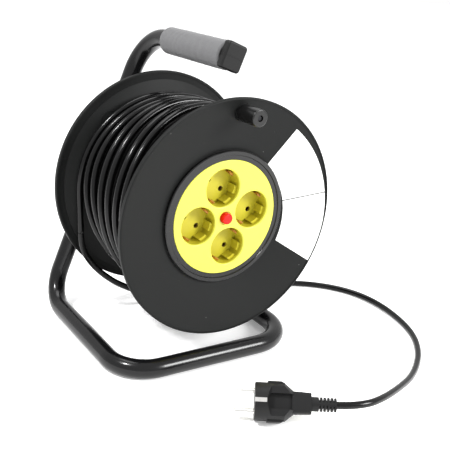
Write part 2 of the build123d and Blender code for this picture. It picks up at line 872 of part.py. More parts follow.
knob_rear = knob_boss_front - knob_gap
with BuildPart() as crank_knob:
    with BuildSketch(face(knob_rear)):
        with Locations(knob_place):
            Circle(knob_d / 2)
    extrude(amount=knob_rear + knob_front)
    with BuildSketch(face(knob_rear)):
        with Locations(knob_place):
            Circle(knob_d / 2 - knob_skin)
            Circle(knob_core_r, mode=Mode.SUBTRACT)
    extrude(amount=knob_front - knob_counterbore, mode=Mode.SUBTRACT)
    with BuildSketch(face(knob_rear)):
        with Locations(knob_place):
            Circle(knob_rivet_d / 2 + running_fit)
    extrude(amount=knob_rear + knob_front, mode=Mode.SUBTRACT)
    with BuildSketch(face(-knob_front)):
        with Locations(knob_place):
            Circle(knob_counterbore_d / 2)
    extrude(amount=-knob_counterbore, mode=Mode.SUBTRACT)
    knob_edges = crank_knob.edges().filter_by(GeomType.CIRCLE).group_by(Axis.Y)[0]
    fillet(knob_edges.sort_by(lambda edge: edge.radius)[-1], 1.2)
crank_knob.part.label = "crank_knob"
export_step(crank_knob.part, "parts/crank_knob.step")

# ---- Label ----

label_centre = polar(label_shift, label_shift_angle)
with BuildPart() as rating_label:
    with BuildSketch(section):
        with BuildLine():
            Polyline(
                (dish_r, dish_depth - label_t),
                (cone_r, rim_step - label_t),
                (cone_r, rim_step),
                (dish_r, dish_depth),
                close=True,
            )
        make_face()
    revolve(axis=spin)
    with BuildSketch(face(dish_depth)):
        with Locations(label_centre):
            Circle(label_outer_r)
            Circle(label_inner_r, mode=Mode.SUBTRACT)
        with BuildLine():
            Polyline(*label_lower_edge, (flange_d, 0), *label_upper_edge, close=True)
        make_face(mode=Mode.INTERSECT)
        with BuildLine():
            Line(*label_split)
        trace(line_width=label_gap, mode=Mode.SUBTRACT)
    extrude(amount=2 * dish_depth, mode=Mode.INTERSECT)
rating_label.part.label = "rating_label"
export_step(rating_label.part, "parts/rating_label.step")

# ---- Cord on the drum and its inner end ----

with BuildPart() as cord_inner_end:
    with BuildSketch(Plane(origin=inner_end_start, z_dir=inner_end_way)):
        Circle(cord_r)
    extrude(amount=barrel_r - inner_end_r)
cord_inner_end.part.label = "cord_inner_end"
export_step(cord_inner_end.part, "parts/cord_inner_end.step")

clamp_front = inner_end_depth - cord_r - clamp_cover
with BuildPart() as cord_clamp:
    with BuildSketch(face(clamp_front)):
        with Locations(Location((clamp_place[0], clamp_place[1], 0), (0, 0, inner_end_angle))):
            RectangleRounded(clamp_width, clamp_length, 2.0)
    extrude(amount=clamp_front - barrel_rear)
    with BuildSketch(face(clamp_front)):
        with Locations(clamp_screw_places):
            Circle(screw_core_r + screw_clearance)
    extrude(amount=clamp_front - barrel_rear, mode=Mode.SUBTRACT)
    with BuildSketch(Plane(origin=spot(0, inner_end_depth, 0), z_dir=inner_end_way)):
        Circle(cord_r + running_fit)
    extrude(amount=barrel_inner_r, mode=Mode.SUBTRACT)
    with BuildSketch(face(inner_end_depth)):
        with Locations(Location((clamp_place[0], clamp_place[1], 0), (0, 0, inner_end_angle))):
            Rectangle(clamp_width + 2, cord_d + 2 * running_fit)
    extrude(amount=inner_end_depth - barrel_rear, mode=Mode.SUBTRACT)
cord_clamp.part.label = "cord_clamp"
export_step(cord_clamp.part, "parts/cord_clamp.step")

with BuildPart() as clamp_screws:
    with BuildSketch(face(clamp_front)):
        with Locations(clamp_screw_places):
            Circle(clamp_screw_head_r)
    extrude(amount=clamp_screw_head)
    with BuildSketch(face(clamp_front)):
        with Locations(clamp_screw_places):
            Circle(screw_core_r)
    extrude(amount=clamp_front - barrel_rear - flange_wall + screw_end_room)
clamp_screws.part.label = "clamp_screws"
export_step(clamp_screws.part, "parts/clamp_screws.step")

core_inner_r = barrel_r + 0.3
with BuildPart() as winding_core:
    with BuildSketch(section):
        with BuildLine():
            Polyline(
                (core_inner_r, flange_back(core_inner_r) + core_room),
                (core_r, flange_back(core_r) + core_room),
                (core_r, drum_width - flange_back(core_r) - core_room),
                (core_inner_r, drum_width - flange_back(core_inner_r) - core_room),
                close=True,
            )
        make_face()
    revolve(axis=spin)
winding_core.part.label = "winding_core"
export_step(winding_core.part, "parts/winding_core.step")

inner_layer_r = core_r + winding_gap + cord_r
outer_layer_r = inner_layer_r + cord_d + layer_gap
layer_front = flange_back(inner_layer_r) + side_room
layer_rear = drum_width - layer_front
climb_end = inner_turns + climb_turns
all_turns = climb_end + outer_turns


def ease(share):
    """A share from 0 to 1 that starts and ends level."""
    return share * share * (3 - 2 * share)


def bunching(angle, depth):
    """How far a loose turn lies from its even place: turns bunch above and below the axis."""
    past_top = angle - radians(bunch_angle)
    narrowing = (1 - bunch_spread) * (1 + cos(2 * past_top))
    return bunch_shift * cos(past_top) - narrowing * (depth - drum_width / 2)


def wound(turn):
    """The cord's centre after a number of turns from its inner end."""
    angle = radians(leave_angle - 360.0 * (all_turns - turn))
    if turn <= inner_turns:
        share = turn / inner_turns
        share += pitch_unevenness * sin(2 * pi * pitch_waves * share)
        radius, depth = inner_layer_r, layer_rear + (layer_front - layer_rear) * share
    elif turn <= climb_end:
        share = ease((turn - inner_turns) / climb_turns)
        radius, depth = inner_layer_r + (outer_layer_r - inner_layer_r) * share, layer_front
    else:
        share = (turn - climb_end) / outer_turns
        radius, depth = outer_layer_r, layer_front + (layer_rear - layer_front) * share
        depth += (1 - (2 * share - 1) ** 4) * bunching(angle, depth)
    return spot(radius * cos(angle), depth, radius * sin(angle))


def wound_way(turn):
    """The direction of the cord after a number of turns."""
    step = 0.0005
    before = wound(max(turn - step, 0))
    after = wound(min(turn + step, all_turns))
    return (after - before).normalized()


def joint_of_arcs(start, start_way, end, end_way):
    """Where two arcs from start to end meet, and their shared direction there."""
    across = end - start
    turned = 2 * (1 - start_way.dot(end_way))
    both = across.dot(start_way + end_way)
    reach = (-both + sqrt(both * both + turned * across.dot(across))) / turned
    first_corner = start + start_way * reach
    second_corner = end - end_way * reach
    return (first_corner + second_corner) * 0.5, (second_corner - first_corner).normalized()


wound_steps = int(round(steps_per_turn * all_turns))
wound_points = [wound(k / steps_per_turn) for k in range(wound_steps + 1)]
wound_ways = [wound_way(k / steps_per_turn) for k in range(wound_steps + 1)]
wound_start = wound_points[0] - wound_ways[0] * cord_d
tail_end = wound_points[-1] + wound_ways[-1] * tail_length
with BuildPart() as winding_outer:
    with BuildLine() as winding_path:
        Line(wound_start, wound_points[0])
        for k in range(wound_steps):
            middle, middle_way = joint_of_arcs(
                wound_points[k], wound_ways[k], wound_points[k + 1], wound_ways[k + 1]
            )
            TangentArc(wound_points[k], middle, tangent=wound_ways[k])
            TangentArc(middle, wound_points[k + 1], tangent=middle_way)
        Line(wound_points[-1], tail_end)
    with BuildSketch(Plane(origin=wound_start, z_dir=wound_ways[0])):
        Circle(cord_r)
    sweep(path=winding_path.wire())
winding_outer.part.label = "winding_outer"
export_step(winding_outer.part, "parts/winding_outer.step")

winding_line = winding_path.wire()
print("winding length mm", round(winding_line.length), "volume ratio", end=" ")
print(round(winding_outer.part.volume / (winding_line.length * pi * cord_r**2), 4))


def least_gap(points, per_turn, width):
    """The least gap between a wound tube of this width and its own other turns."""
    least = per_turn * width
    for i, point in enumerate(points):
        for near in range(i - per_turn, -3, -per_turn):
            for j in range(max(near - 2, 0), near + 3):
                side = points[j + 1] - points[j]
                share = min(max((point - points[j]).dot(side) / side.dot(side), 0), 1)
                least = min(least, (point - points[j] - side * share).length)
    return least - width


arc_steps = 6
turn_points = []
for arc in winding_path.edges().filter_by(GeomType.CIRCLE):
    turn_points += [arc @ (k / arc_steps) for k in range(arc_steps)]
print("winding least gap to itself mm", end=" ")
print(round(least_gap(turn_points, 2 * steps_per_turn * arc_steps, cord_d), 2))

# ---- Free cord and its plug ----

plug_start = spot(plug_tail[0], plug_tail[1], plug_tail_height - axis_height)
plug_level = Vector(cos(radians(plug_heading)), sin(radians(plug_heading)), 0)
plug_way = plug_level * cos(radians(plug_tilt)) + Vector(0, 0, sin(radians(plug_tilt)))
plug_sideways = Vector(-plug_level.Y, plug_level.X, 0)
plug_upward = plug_way.cross(plug_sideways)
plug_side = plug_sideways * cos(radians(plug_roll)) + plug_upward * sin(radians(plug_roll))
lying = cord_r + floor_gap - axis_height

lead_route = [
    tail_end,
    tail_end + wound_ways[-1] * tail_run,
    spot(-84.5, 151.8, -92.5),
    spot(-66, 151, -111.5),
    spot(-42, 150, -128),
    spot(-14, 149, -140),
    spot(20, 148.5, -145),
    spot(56, 147.5, -138),
    spot(92, 145.5, -126),
    spot(130, 140, -139),
    spot(168, 133, lying),
    spot(207, 117.5, lying),
    spot(238, 92, lying),
    spot(256, 61, lying),
    spot(260.5, 24, lying),
    spot(253, -18, lying),
    spot(238, -56, lying),
    spot(213, -88, lying),
    spot(184, -112, -151.3),
    spot(154, -131, -148.2),
    spot(124.5, -145, -143),
    spot(97.5, -156.5, -138),
    spot(76, -164, -134.2),
    spot(57, -167.5, -132),
    plug_start - plug_way * plug_run,
    plug_start,
]


def bend_radii(route):
    """The radius of the bend at each inner point of a route."""
    radii = []
    for before, at, after in zip(route, route[1:], route[2:]):
        turn = (at - before).get_angle(after - at)
        shorter = min((at - before).length, (after - at).length)
        radii.append(0.45 * shorter / tan(radians(turn / 2)))
    return radii


lead_radii = bend_radii(lead_route)
with BuildPart() as cord_lead:
    with BuildLine() as lead_path:
        FilletPolyline(*lead_route, radius=lead_radii)
    with BuildSketch(Plane(origin=tail_end, z_dir=wound_ways[-1])):
        Circle(cord_r)
    sweep(path=lead_path.wire())
cord_lead.part.label = "cord_lead"
export_step(cord_lead.part, "parts/cord_lead.step")

lead_line = lead_path.wire()
print("lead length mm", round(lead_line.length, 1), "volume ratio", end=" ")
print(round(cord_lead.part.volume / (lead_line.length * pi * cord_r**2), 4))
print("lead bend radii mm", [round(radius) for radius in lead_radii])


def plug_at(length):
    """A plane across the plug at a length from its tail, x sideways and y up."""
    return Plane(origin=plug_start + plug_way * length, x_dir=plug_side, z_dir=plug_way)


with BuildPart() as plug_strain_relief:
    with BuildSketch(plug_at(0)):
        Circle(relief_tail_r)
    with BuildSketch(plug_at(relief_taper)):
        Circle(relief_head_r)
    loft()
    with BuildSketch(plug_at(relief_taper)):
        Circle(relief_head_r)
    extrude(amount=relief_length - relief_taper)
    for k in range(relief_slot_count):
        with BuildSketch(plug_at(relief_slot_from + relief_slot_pitch * k)):
            Circle(2 * relief_head_r)
            Circle(relief_core_r, mode=Mode.SUBTRACT)
            Rectangle(4 * relief_head_r, relief_spine, mode=Mode.SUBTRACT)
        extrude(amount=relief_slot_w, mode=Mode.SUBTRACT)
plug_strain_relief.part.label = "plug_strain_relief"
export_step(plug_strain_relief.part, "parts/plug_strain_relief.step")

plug_upright = Plane(origin=plug_start, x_dir=plug_way, z_dir=-plug_side)
# How far out each side cut starts, where its sides end, and its half width
plug_cuts = [
    (plug_facet, plug_facet_edge, plug_flat),
    (plug_recess_bed, plug_recess_edge, plug_recess_w / 2),
]
with BuildPart() as plug_body:
    with BuildSketch(plug_at(plug_cone_from)):
        Circle(plug_cone_r)
    with BuildSketch(plug_at(plug_cone_to)):
        Circle(plug_head_r)
    loft()
    with BuildSketch(plug_at(plug_cone_to)):
        Circle(plug_head_r)
    extrude(amount=plug_length - plug_cone_to)
    with BuildSketch(plug_at(plug_cone_from)):
        Rectangle(3 * plug_head_r, 2 * plug_flat)
    extrude(amount=plug_length - plug_cone_from, mode=Mode.INTERSECT)
    fillet(plug_body.faces().sort_by(Axis(plug_start, plug_way))[-1].edges(), 0.8)
    for side in (1, -1):
        for bed, edge_length, half_width in plug_cuts:
            with BuildSketch(plug_upright.offset(-side * bed)):
                with BuildLine():
                    Polyline(
                        (edge_length, -half_width),
                        (plug_cone_from, -half_width),
                        (plug_cone_from, half_width),
                        (edge_length, half_width),
                    )
                    ThreePointArc(
                        (edge_length, half_width),
                        (plug_recess_tip, 0),
                        (edge_length, -half_width),
                    )
                make_face()
            extrude(amount=-side * plug_head_r, mode=Mode.SUBTRACT)
        with BuildSketch(plug_upright):
            Polygon(
                (plug_tab_from, side * 15.0),
                (plug_tab_from, side * plug_flat),
                (plug_tab_from + 3.0, side * plug_tab),
                (plug_tab_to, side * plug_tab),
                (plug_tab_to, side * 15.0),
                align=None,
            )
        extrude(amount=plug_tab_w / 2, both=True)
        with BuildSketch(plug_at(plug_length)):
            with Locations((0, side * plug_flat)):
                Rectangle(plug_guide_w, 2 * plug_guide_deep)
            with Locations((side * (plug_strip_bed + plug_head_r), 0)):
                Rectangle(2 * plug_head_r, plug_strip_w)
        extrude(amount=-plug_guide_length, mode=Mode.SUBTRACT)
    with BuildSketch(plug_at(relief_length)):
        RectangleRounded(*plug_neck_tail, 3.0)
    with BuildSketch(plug_at(plug_waist)):
        RectangleRounded(*plug_neck_head, 3.0)
    loft()
    with BuildSketch(plug_at(plug_length)):
        with GridLocations(1, pin_spread, 1, 2):
            Circle(plug_pin_root_d / 2)
    extrude(amount=-plug_pin_root, mode=Mode.SUBTRACT)
plug_body.part.label = "plug_body"
export_step(plug_body.part, "parts/plug_body.step")

with BuildPart() as plug_pins:
    with BuildSketch(plug_at(plug_length - plug_pin_root)):
        with GridLocations(1, pin_spread, 1, 2):
            Circle(plug_pin_root_d / 2)
    extrude(amount=plug_pin_root + plug_pin_shoulder)
    with BuildSketch(plug_at(plug_length + plug_pin_shoulder)):
        with GridLocations(1, pin_spread, 1, 2):
            Circle(plug_pin_d / 2)
    extrude(amount=plug_pin_length - plug_pin_shoulder)
    fillet(plug_pins.edges().group_by(Axis(plug_start, plug_way))[-1], 1.4)
plug_pins.part.label = "plug_pins"
export_step(plug_pins.part, "parts/plug_pins.step")

with BuildPart() as plug_earth_strips:
    with BuildSketch(plug_at(plug_length)):
        with GridLocations(2 * plug_strip_bed + strip_t, 1, 2, 1):
            Rectangle(strip_t, plug_strip_w)
    extrude(amount=-plug_guide_length)
plug_earth_strips.part.label = "plug_earth_strips"
export_step(plug_earth_strips.part, "parts/plug_earth_strips.step")
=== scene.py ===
"""Extension cord reel on a bent-tube stand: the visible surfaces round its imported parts.

Lengths are in metres, the floor is at z = 0 and the sockets face -Y. The drum turns about
an axis along Y. Angles round the drum are measured from the right, seen from the sockets.
"""

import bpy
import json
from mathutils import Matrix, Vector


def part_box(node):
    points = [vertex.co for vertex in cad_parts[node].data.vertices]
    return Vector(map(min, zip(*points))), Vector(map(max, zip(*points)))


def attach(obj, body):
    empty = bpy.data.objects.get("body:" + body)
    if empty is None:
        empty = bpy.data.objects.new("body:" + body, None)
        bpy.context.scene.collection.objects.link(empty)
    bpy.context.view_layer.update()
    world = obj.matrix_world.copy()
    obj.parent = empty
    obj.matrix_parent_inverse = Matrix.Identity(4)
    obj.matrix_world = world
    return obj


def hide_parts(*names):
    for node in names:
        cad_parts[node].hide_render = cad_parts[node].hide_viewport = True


bl_info = {
    "name": "Extension Cord Reel",
    "version": (1, 0, 0),
    "blender": (4, 5, 0),
    "location": "3D View > Sidebar > Cord Reel",
    "description": "Cord, grip, trims and finishes for an extension cord reel",
    "category": "Object",
}

import json
import math

import bpy
import numpy as np
from bpy.props import FloatProperty, FloatVectorProperty, IntProperty, PointerProperty
from mathutils import Matrix, Vector

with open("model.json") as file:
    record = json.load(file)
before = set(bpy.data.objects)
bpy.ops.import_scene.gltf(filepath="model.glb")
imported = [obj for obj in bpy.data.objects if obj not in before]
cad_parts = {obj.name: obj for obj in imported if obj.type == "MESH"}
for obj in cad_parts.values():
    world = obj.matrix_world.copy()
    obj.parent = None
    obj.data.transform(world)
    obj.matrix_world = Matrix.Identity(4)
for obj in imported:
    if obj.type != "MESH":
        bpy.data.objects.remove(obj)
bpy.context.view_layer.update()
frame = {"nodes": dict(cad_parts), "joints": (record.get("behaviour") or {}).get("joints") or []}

drum_spin = next(joint for joint in frame["joints"] if joint["name"] == "drum_spin")
AXIS_X, _, AXIS_Z = drum_spin["pos_m"]
RIM_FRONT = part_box("front_flange")[0].y
DRUM_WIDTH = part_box("rear_flange")[1].y - RIM_FRONT
GRIP_LOW, GRIP_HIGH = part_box("handle_grip")


def spot(right, back, up):
    """A point given in mm from the drum: right of its axis, behind its rim, above its axis."""
    return (AXIS_X + right / 1000, RIM_FRONT + back / 1000, AXIS_Z + up / 1000)


# ---- Sizes and colours a user may change ----


class CordReelCord(bpy.types.PropertyGroup):
    """Sizes of the cord."""

    diameter: FloatProperty(
        name="Diameter", description="Outside of the sheath", default=0.0072, unit="LENGTH"
    )
    inner_radius: FloatProperty(
        name="Inner layer",
        description="Radius of the inner layer's centre line",
        default=0.094,
        unit="LENGTH",
    )
    outer_radius: FloatProperty(
        name="Outer layer",
        description="Radius of the outer layer's centre line",
        default=0.102,
        unit="LENGTH",
    )
    inner_turns: FloatProperty(
        name="Inner turns", description="Turns of the inner layer", default=17.0, min=1.0
    )
    outer_turns: FloatProperty(
        name="Outer turns", description="Turns of the outer layer", default=7.5, min=1.0
    )
    steps: IntProperty(
        name="Steps", description="Rings of the mesh in each turn", default=84, min=24
    )
    sides: IntProperty(name="Sides", description="Sides of each ring", default=14, min=6)
    colour: FloatVectorProperty(
        name="Sheath",
        description="Colour of the sheath",
        default=(0.0022, 0.0022, 0.0023),
        subtype="COLOR",
        size=3,
    )


class CordReelGrip(bpy.types.PropertyGroup):
    """Sizes of the foam grip."""

    wrinkle: FloatProperty(
        name="Wrinkle", description="Height of the faint wrinkles", default=0.00011, unit="LENGTH"
    )
    lip: FloatProperty(
        name="Lip", description="Rounding at both ends", default=0.0026, unit="LENGTH"
    )
    colour: FloatVectorProperty(
        name="Foam",
        description="Colour of the foam",
        default=(0.105, 0.105, 0.108),
        subtype="COLOR",
        size=3,
    )


class CordReelDrum(bpy.types.PropertyGroup):
    """Colours of the drum and its fittings."""

    moulded: FloatVectorProperty(
        name="Drum",
        description="Matt moulded plastic",
        default=(0.0068, 0.0072, 0.0070),
        subtype="COLOR",
        size=3,
    )
    collar: FloatVectorProperty(
        name="Collar",
        description="Satin moulded plastic",
        default=(0.004, 0.004, 0.004),
        subtype="COLOR",
        size=3,
    )
    plate: FloatVectorProperty(
        name="Plate",
        description="Plate with the sockets",
        default=(0.60, 0.59, 0.058),
        subtype="COLOR",
        size=3,
    )
    # Wells: a darker, more olive copy of the plate's yellow, painted shade inside the socket
    # wells
    cups: FloatVectorProperty(
        name="Wells",
        description="Inside of the socket wells",
        default=(0.44, 0.39, 0.022),
        subtype="COLOR",
        size=3,
    )
    button: FloatVectorProperty(
        name="Button",
        description="Reset button",
        default=(0.70, 0.006, 0.003),
        subtype="COLOR",
        size=3,
    )
    label: FloatVectorProperty(
        name="Label",
        description="Blank label film",
        default=(0.86, 0.86, 0.85),
        subtype="COLOR",
        size=3,
    )


class CordReelStand(bpy.types.PropertyGroup):
    """Colours of the stand."""

    paint: FloatVectorProperty(
        name="Paint",
        description="Gloss paint of the tube",
        default=(0.0032, 0.0032, 0.0035),
        subtype="COLOR",
        size=3,
    )


class CordReelStage(bpy.types.PropertyGroup):
    """Camera, lights and floor."""

    eye: FloatVectorProperty(
        name="Eye",
        description="Place of the camera",
        default=(-0.42097, -0.68814, 0.40446),
        subtype="TRANSLATION",
        size=3,
    )
    heading: FloatProperty(
        name="Heading",
        description="Camera's turn round the object",
        default=math.radians(-32.77),
        subtype="ANGLE",
    )
    height: FloatProperty(
        name="Height",
        description="Camera's angle above the floor",
        default=math.radians(21.19),
        subtype="ANGLE",
    )
    roll: FloatProperty(
        name="Roll",
        description="Camera's tilt round its own axis",
        default=math.radians(4.43),
        subtype="ANGLE",
    )
    lens: FloatProperty(name="Lens", description="Focal length in mm", default=60.84)
    shift: FloatVectorProperty(
        name="Shift", description="Shift of the lens", default=(0.0645, 0.0537), size=2
    )
    floor: FloatVectorProperty(
        name="Floor",
        description="Colour of the floor",
        default=(0.93, 0.93, 0.93),
        subtype="COLOR",
        size=3,
    )


GROUPS = (CordReelCord, CordReelGrip, CordReelDrum, CordReelStand, CordReelStage)
GROUP_NAMES = ("cord", "grip", "drum", "stand", "stage")


def values(name):
    """One group of the scene's sizes and colours."""
    return getattr(bpy.context.scene, "cord_reel_" + name)


# ---- Surfaces ----


def put(name, points, faces):
    """A smooth-shaded object at the origin whose mesh has these points and faces."""
    mesh = bpy.data.meshes.new(name)
    mesh.from_pydata(np.asarray(points).tolist(), [], [list(face) for face in faces])
    mesh.validate()
    mesh.polygons.foreach_set("use_smooth", np.full(len(mesh.polygons), True))
    mesh.update()
    thing = bpy.data.objects.new(name, mesh)
    bpy.context.scene.collection.objects.link(thing)
    return thing


def grid_faces(rows, columns, round_rows=False):
    """Quads of a grid of points whose rows are rings; round_rows joins the last to the first."""
    i = np.arange(rows if round_rows else rows - 1)[:, None]
    j = np.arange(columns)[None, :]
    here, there = i * columns, ((i + 1) % rows) * columns
    left, right = j, (j + 1) % columns
    quads = np.stack([here + left, here + right, there + right, there + left], axis=-1)
    return quads.reshape(-1, 4).tolist()


def tube(path, radius, sides, guide):
    """Points and faces of a tube round a path.

    Ring i is path[i] + radius * (cos t * n + sin t * b), where n is the guide made square
    to the path's direction d, and b = d x n. Both ends are closed by one flat face.
    """
    path = np.asarray(path, float)
    way = np.gradient(path, axis=0)
    way /= np.linalg.norm(way, axis=1, keepdims=True)
    normal = guide - np.sum(guide * way, axis=1, keepdims=True) * way
    normal /= np.linalg.norm(normal, axis=1, keepdims=True)
    across = np.cross(way, normal)
    turn = np.linspace(0, 2 * np.pi, sides, endpoint=False)[None, :, None]
    ring = np.cos(turn) * normal[:, None, :] + np.sin(turn) * across[:, None, :]
    points = (path[:, None, :] + radius * ring).reshape(-1, 3)
    faces = grid_faces(len(path), sides)
    faces.append(list(range(sides))[::-1])
    last = (len(path) - 1) * sides
    faces.append(list(range(last, last + sides)))
    return points, faces


def lathe(profile, steps, centre, ripple):
    """Points and faces of a ring-shaped solid turned about a line along Y.

    The closed profile is an array of (radius, depth); point (i, j) is the centre plus
    (radius_i + ripple_ij) * (cos a_j, 0, sin a_j) plus depth_i along Y.
    """
    angle = np.linspace(0, 2 * np.pi, steps, endpoint=False)
    radius = profile[:, :1] + ripple
    x = centre[0] + radius * np.cos(angle)
    z = centre[2] + radius * np.sin(angle)
    y = centre[1] + np.repeat(profile[:, 1:], steps, axis=1)
    points = np.stack([x, y, z], axis=-1).reshape(-1, 3)
    return points, grid_faces(len(profile), steps, round_rows=True)


def arc(centre, radius, start, end, steps):
    """Points of an arc in a flat profile, from one angle to another in degrees."""
    angle = np.radians(np.linspace(start, end, steps))
    return [(centre[0] + radius * math.cos(a), centre[1] + radius * math.sin(a)) for a in angle]


def wound_line(cord):
    """The centre line of the cord on the drum, and the outward direction at each point.

    The inner layer goes from the rear flange to the front one at an even pitch, the cord
    climbs in half a turn, and the loose outer layer comes back. A loose turn at the even
    depth d lies at d + fade * (bunched + waver), where bunched is
    shift * cos(p) - narrowing * (1 + cos(2 * p)) * (d - middle), p being its angle past the
    place where the turns bunch toward the rear, and the waver is two slow sines. A third
    sine lifts some of the turns a little. The fade is 0 at both ends of the outer layer
    and 1 between. The angle ends where the cord leaves along its tangent, in a short run.
    """
    rear, front = 0.1496, 0.0160
    climb = 0.5
    shift, narrowing, bunch_angle = 0.020, 0.27, math.radians(75.0)
    long_waver, short_waver, highest_lift = 0.0024, 0.0011, 0.0016
    end_angle, run_length, run_steps = math.radians(186.0), 0.042, 14
    turns = cord.inner_turns + climb + cord.outer_turns
    u = np.linspace(0, turns, int(turns * cord.steps))
    angle = end_angle - 2 * np.pi * (turns - u)
    inner = np.clip(u / cord.inner_turns, 0, 1)
    rise = np.clip((u - cord.inner_turns) / climb, 0, 1)
    rise = rise * rise * (3 - 2 * rise)
    outer = np.clip((u - cord.inner_turns - climb) / cord.outer_turns, 0, 1)
    even = rear + (front - rear) * inner + (rear - front) * outer
    fade = np.where(outer > 0, 1 - (2 * outer - 1) ** 4, 0)
    past = angle - bunch_angle
    bunched = shift * np.cos(past) - narrowing * (1 + np.cos(2 * past)) * (even - DRUM_WIDTH / 2)
    waver = long_waver * np.sin(1.3 * angle + 2.0 * np.sin(11.0 * outer))
    waver += short_waver * np.sin(2.7 * angle + 4.0 * outer)
    depth = even + fade * (bunched + waver)
    lift = highest_lift * fade * (1 + np.sin(0.83 * angle + 1.1)) * np.sin(0.31 * angle) ** 2
    radius = cord.inner_radius + (cord.outer_radius - cord.inner_radius) * rise + lift
    outward = np.stack([np.cos(angle), np.zeros_like(angle), np.sin(angle)], axis=-1)
    line = np.stack([radius * np.cos(angle), depth, radius * np.sin(angle)], axis=-1)
    along = line[-1] - line[-2]
    along = along / np.linalg.norm(along)
    run = line[-1] + along * np.linspace(run_length / run_steps, run_length, run_steps)[:, None]
    line = np.concatenate([line, run])
    outward = np.concatenate([outward, np.repeat(outward[-1:], len(run), axis=0)])
    return line + np.array([AXIS_X, RIM_FRONT, AXIS_Z]), outward


def soft_ripple(s, a):
    """Faint wrinkles of a foam sleeve: a few oblique sine ridges that fade in and out.

    s goes from 0 to 6 along the sleeve, a is the angle round it.
    """
    ridge = np.sin(9 * s + 2.0 * a + 1.3 * np.sin(3 * a)) * np.exp(-((s - 2.1) ** 2) / 1.2)
    ridge += 0.7 * np.sin(14 * s - 3.0 * a + 0.8) * np.exp(-((s - 4.4) ** 2) / 0.9)
    ridge += 0.5 * np.sin(3 * s + 1.0 * a) + 0.4 * np.sin(5 * a + 2 * s)
    return ridge


# ---- Finishes ----


class Finish:
    """A node material under construction: a Principled shader and what feeds it."""

    def __init__(self, name, colour, roughness, **sockets):
        self.material = bpy.data.materials.new(name)
        self.material.use_nodes = True
        self.material.diffuse_color = (*colour[:3], 1)
        self.tree = self.material.node_tree
        self.shader = self.tree.nodes["Principled BSDF"]
        self.set(self.shader, "Base Color", (*colour[:3], 1))
        self.set(self.shader, "Roughness", roughness)
        for socket, value in sockets.items():
            self.set(self.shader, socket.replace("_", " "), value)
        self.place = self.node("ShaderNodeTexCoord").outputs["Object"]

    def node(self, kind, **inputs):
        """A node whose inputs are numbers or other nodes' outputs."""
        new = self.tree.nodes.new(kind)
        for socket, value in inputs.items():
            self.set(new, socket.replace("_", " "), value)
        return new

    def set(self, node, socket, value):
        """Give a node's input a number, a colour or a link."""
        if isinstance(value, bpy.types.NodeSocket):
            self.tree.links.new(value, node.inputs[socket])
        else:
            node.inputs[socket].default_value = value

    def noise(self, scale, detail=3.0, roughness=0.55, place=None):
        """Smooth noise from 0 to 1 with features about 1/scale metres across."""
        new = self.node(
            "ShaderNodeTexNoise",
            Vector=place or self.place,
            Scale=scale,
            Detail=detail,
            Roughness=roughness,
        )
        return new.outputs["Fac"]

    def stretch(self, scale):
        """The place of a point, stretched so that a pattern lies along one direction."""
        new = self.node("ShaderNodeMapping", Vector=self.place, Scale=scale)
        return new.outputs["Vector"]

    def ramp(self, factor, low, high, start=0.0, end=1.0):
        """A number that goes from low to high while the factor goes from start to end."""
        new = self.tree.nodes.new("ShaderNodeMapRange")
        for socket, value in (
            ("Value", factor),
            ("From Min", start),
            ("From Max", end),
            ("To Min", low),
            ("To Max", high),
        ):
            self.set(new, socket, value)
        return new.outputs["Result"]

    def blend(self, factor, first, second):
        """A colour between two, by a factor from 0 to 1."""
        new = self.tree.nodes.new("ShaderNodeMix")
        new.data_type = "RGBA"
        self.set(new, 0, factor)
        for index, colour in ((6, first), (7, second)):
            if not isinstance(colour, bpy.types.NodeSocket):
                colour = (*colour[:3], 1)
            self.set(new, index, colour)
        return new.outputs[2]

    def sum(self, first, second, operation="ADD"):
        """Two numbers added, or put together by another operation."""
        new = self.tree.nodes.new("ShaderNodeMath")
        new.operation = operation
        self.set(new, 0, first)
        self.set(new, 1, second)
        return new.outputs[0]

    def specks(self, scale, size, share):
        """Small round specks: 1 inside, 0 outside; a share of the cells has one."""
        cells = self.node("ShaderNodeTexVoronoi", Vector=self.place, Scale=scale)
        pick = self.node("ShaderNodeSeparateColor", Color=cells.outputs["Color"])
        reach = self.ramp(pick.outputs[0], 0.0, size, 1 - share, 1.0)
        return self.sum(cells.outputs["Distance"], reach, "LESS_THAN")

    def relief(self, height, strength, distance):
        """A bump on the surface from a height between 0 and 1."""
        bump = self.node("ShaderNodeBump", Height=height, Strength=strength, Distance=distance)
        self.set(self.shader, "Normal", bump.outputs["Normal"])

    def colour(self, value):
        """The shader's colour from a node."""
        self.set(self.shader, "Base Color", value)

    def rough(self, value):
        """The shader's roughness from a node."""
        self.set(self.shader, "Roughness", value)


def tint(colour, factor):
    """A colour made lighter or darker."""
    return tuple(min(1.0, part * factor) for part in colour[:3])


def gloss_paint(name, colour):
    """Baked gloss paint on steel tube: slight waviness, thin spots and a few dust specks."""
    made = Finish(name, colour, 0.20, Specular_IOR_Level=0.30)
    cloud = made.noise(28.0, detail=3.0)
    peel = made.noise(420.0, detail=2.0)
    dust = made.specks(150.0, size=0.045, share=0.35)
    coat = made.blend(cloud, tint(colour, 0.8), tint(colour, 1.3))
    made.colour(made.blend(dust, coat, (0.10, 0.10, 0.10)))
    made.rough(made.ramp(cloud, 0.14, 0.27))
    made.relief(peel, strength=0.10, distance=0.00012)
    return made.material


